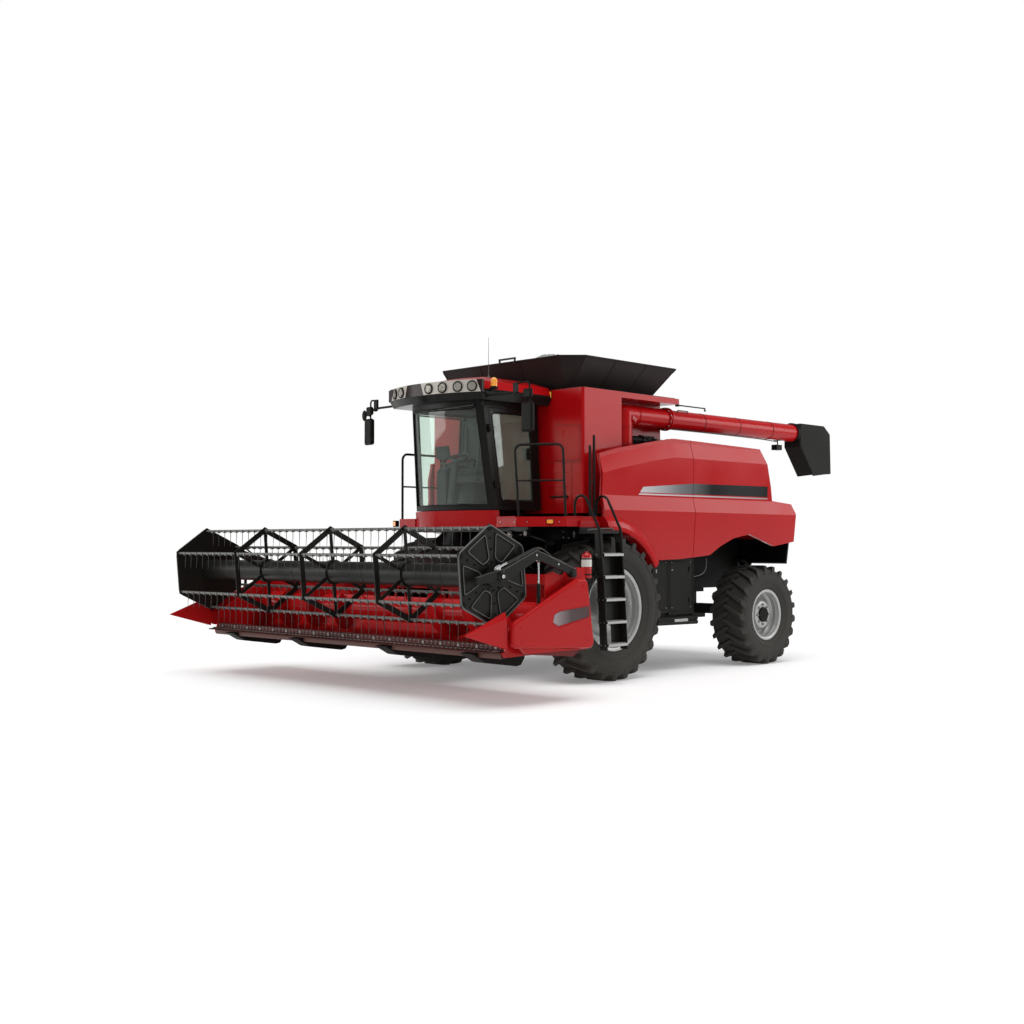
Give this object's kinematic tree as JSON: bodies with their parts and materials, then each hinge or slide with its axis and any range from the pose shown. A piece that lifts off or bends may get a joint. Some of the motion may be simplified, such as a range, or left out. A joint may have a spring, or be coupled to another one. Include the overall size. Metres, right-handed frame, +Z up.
{
  "type": "combine harvester",
  "caption": "Self-propelled combine harvester with a grain header and reel, cab, flared grain tank and a swinging unloading tube.",
  "frame": {"origin": "on the ground, midway along the machine's length and width", "axes": "+X to the machine's left, +Y to its rear, +Z up"},
  "size_m": [6.11, 9.848, 4.4799],
  "materials": {
    "red_paint": "gloss body paint",
    "black_paint": "satin black paint",
    "silver_paint": "silver wheel paint",
    "tyre_rubber": "matt rubber",
    "flap_plastic": "matt dark sheet",
    "spout_rubber": "matt rubber",
    "tinted_glass": "green tinted glass",
    "cab_trim": "grained plastic",
    "seat_cloth": "woven cloth",
    "dark_plastic": "matt black plastic",
    "amber_lens": "clear amber plastic",
    "cylinder_steel": "polished rod",
    "dark_steel": "dark grey paint"
  },
  "bodies": {
    "machine": {"main_frame": "black_paint", "front_axle": "black_paint", "rear_axle": "black_paint", "threshing_body": "black_paint", "engine_block": "dark_steel", "engine_deck": "black_paint", "service_boxes": "dark_plastic", "grain_tank": "red_paint", "tank_extension": "flap_plastic", "rising_auger": "dark_steel", "side_panel_front_left": "red_paint", "side_panel_front_right": "red_paint", "rear_hood": "red_paint", "cab_frame": "black_paint", "windscreen": "tinted_glass", "side_window": "tinted_glass", "cab_roof": "red_paint", "seat": "seat_cloth", "steering_column": "cab_trim", "console": "cab_trim", "mirrors": "dark_plastic", "beacon": "amber_lens", "platform": "red_paint", "ladder": "black_paint", "handrails": "black_paint", "unload_post": "red_paint", "feeder_trunnions": "black_paint"},
    "front_wheel_left": {"front_rim_left": "silver_paint", "front_tyre_left": "tyre_rubber"},
    "front_wheel_right": {"front_rim_right": "silver_paint", "front_tyre_right": "tyre_rubber"},
    "steer_left": {"knuckle_left": "black_paint"},
    "steer_right": {"knuckle_right": "black_paint"},
    "rear_wheel_left": {"rear_rim_left": "silver_paint", "rear_tyre_left": "tyre_rubber"},
    "rear_wheel_right": {"rear_rim_right": "silver_paint", "rear_tyre_right": "tyre_rubber"},
    "side_door_left": {"side_panel_rear_left": "red_paint"},
    "side_door_right": {"side_panel_rear_right": "red_paint"},
    "cab_door": {"cab_door": "black_paint", "door_glass": "tinted_glass"},
    "unloader": {"unloading_tube": "red_paint", "spout": "spout_rubber"},
    "header": {"feeder_house": "red_paint", "header_frame": "red_paint", "end_covers": "red_paint", "cutter_bar": "dark_steel"},
    "header_auger": {"header_auger": "red_paint"},
    "reel_arms": {"reel_arms": "black_paint"},
    "reel": {"reel": "black_paint"},
    "lift_barrels": {"lift_barrels": "black_paint"},
    "lift_rods": {"lift_rods": "cylinder_steel"},
    "reel_barrels": {"reel_barrels": "black_paint"},
    "reel_rods": {"reel_rods": "cylinder_steel"},
    "tine_bar_1": {"tine_bar_1": "dark_steel"},
    "tine_bar_2": {"tine_bar_2": "dark_steel"},
    "tine_bar_3": {"tine_bar_3": "dark_steel"},
    "tine_bar_4": {"tine_bar_4": "dark_steel"},
    "tine_bar_5": {"tine_bar_5": "dark_steel"},
    "tine_bar_6": {"tine_bar_6": "dark_steel"}
  },
  "joints": [
    {"name": "front_wheel_left_spin", "type": "hinge", "parent": "machine", "child": "front_wheel_left", "pos_m": [1.62, -1.176, 0.955], "axis": [1, 0, 0], "continuous": true},
    {"name": "steer_left_turn", "type": "hinge", "parent": "machine", "child": "steer_left", "pos_m": [1.18, 2.336, 0.745], "axis": [0, 0, 1], "range_deg": [-32, 32]},
    {"name": "rear_wheel_left_spin", "type": "hinge", "parent": "steer_left", "child": "rear_wheel_left", "pos_m": [1.665, 2.336, 0.745], "axis": [1, 0, 0], "continuous": true},
    {"name": "side_door_left_lift", "type": "hinge", "parent": "machine", "child": "side_door_left", "pos_m": [1.612, 1.624, 3.245], "axis": [0, -1, 0], "range_deg": [0, 65]},
    {"name": "front_wheel_right_spin", "type": "hinge", "parent": "machine", "child": "front_wheel_right", "pos_m": [-1.62, -1.176, 0.955], "axis": [1, 0, 0], "continuous": true},
    {"name": "steer_right_turn", "type": "hinge", "parent": "machine", "child": "steer_right", "pos_m": [-1.18, 2.336, 0.745], "axis": [0, 0, 1], "range_deg": [-32, 32]},
    {"name": "rear_wheel_right_spin", "type": "hinge", "parent": "steer_right", "child": "rear_wheel_right", "pos_m": [-1.665, 2.336, 0.745], "axis": [1, 0, 0], "continuous": true},
    {"name": "side_door_right_lift", "type": "hinge", "parent": "machine", "child": "side_door_right", "pos_m": [-1.612, 1.624, 3.245], "axis": [0, 1, 0], "range_deg": [0, 65]},
    {"name": "cab_door_swing", "type": "hinge", "parent": "machine", "child": "cab_door", "pos_m": [0.812, -2.274, 2.27], "axis": [0.0542, 0.1069, -0.9928], "range_deg": [0, 62]},
    {"name": "unloader_swing", "type": "hinge", "parent": "machine", "child": "unloader", "pos_m": [1.33, -0.356, 3.63], "axis": [0, 0, -1], "range_deg": [0, 100]},
    {"name": "header_lift", "type": "hinge", "parent": "machine", "child": "header", "pos_m": [0, -1.696, 1.96], "axis": [-1, 0, 0], "range_deg": [-11, 12]},
    {"name": "lift_barrels_tilt", "type": "hinge", "parent": "machine", "child": "lift_barrels", "pos_m": [0, -1.436, 0.73], "axis": [-1, 0, 0], "range_deg": [-7.81, 8.52]},
    {"name": "lift_rods_stroke", "type": "slide", "parent": "lift_barrels", "child": "lift_rods", "axis": [0, -0.9988, 0.048], "range_m": [-0.2372, 0.2588]},
    {"name": "reel_lift", "type": "hinge", "parent": "header", "child": "reel_arms", "pos_m": [0, -3.226, 1.48], "axis": [-1, 0, 0], "range_deg": [-2, 26]},
    {"name": "reel_barrels_tilt", "type": "hinge", "parent": "header", "child": "reel_barrels", "pos_m": [0, -3.736, 1.04], "axis": [-1, 0, 0], "range_deg": [-0.65, 8.44]},
    {"name": "reel_rods_stroke", "type": "slide", "parent": "reel_barrels", "child": "reel_rods", "axis": [0, 0, 1], "range_m": [-0.0173, 0.2247]},
    {"name": "reel_spin", "type": "hinge", "parent": "reel_arms", "child": "reel", "pos_m": [0, -4.383, 1.462], "axis": [1, 0, 0], "continuous": true},
    {"name": "tine_bar_1_turn", "type": "hinge", "parent": "reel", "child": "tine_bar_1", "pos_m": [0, -4.42945, 1.99297], "axis": [1, 0, 0], "continuous": true},
    {"name": "tine_bar_2_turn", "type": "hinge", "parent": "reel", "child": "tine_bar_2", "pos_m": [0, -4.86606, 1.68726], "axis": [1, 0, 0], "continuous": true},
    {"name": "tine_bar_3_turn", "type": "hinge", "parent": "reel", "child": "tine_bar_3", "pos_m": [0, -4.81961, 1.15628], "axis": [1, 0, 0], "continuous": true},
    {"name": "tine_bar_4_turn", "type": "hinge", "parent": "reel", "child": "tine_bar_4", "pos_m": [0, -4.33655, 0.93103], "axis": [1, 0, 0], "continuous": true},
    {"name": "tine_bar_5_turn", "type": "hinge", "parent": "reel", "child": "tine_bar_5", "pos_m": [0, -3.89994, 1.23674], "axis": [1, 0, 0], "continuous": true},
    {"name": "tine_bar_6_turn", "type": "hinge", "parent": "reel", "child": "tine_bar_6", "pos_m": [0, -3.94639, 1.76772], "axis": [1, 0, 0], "continuous": true},
    {"name": "header_auger_spin", "type": "hinge", "parent": "header", "child": "header_auger", "pos_m": [0, -3.476, 0.975], "axis": [1, 0, 0], "continuous": true}
  ],
  "couplings": [
    {"joint": "steer_right_turn", "follows": "steer_left_turn", "ratio": 1},
    {"joint": "lift_barrels_tilt", "follows": "header_lift", "ratio": 0.69535},
    {"joint": "lift_rods_stroke", "follows": "header_lift", "m_per_rad": 1.2112},
    {"joint": "reel_barrels_tilt", "follows": "reel_lift", "ratio": 0.31814},
    {"joint": "reel_rods_stroke", "follows": "reel_lift", "m_per_rad": 0.4855},
    {"joint": "tine_bar_1_turn", "follows": "reel_spin", "ratio": -1},
    {"joint": "tine_bar_2_turn", "follows": "reel_spin", "ratio": -1},
    {"joint": "tine_bar_3_turn", "follows": "reel_spin", "ratio": -1},
    {"joint": "tine_bar_4_turn", "follows": "reel_spin", "ratio": -1},
    {"joint": "tine_bar_5_turn", "follows": "reel_spin", "ratio": -1},
    {"joint": "tine_bar_6_turn", "follows": "reel_spin", "ratio": -1}
  ]
}
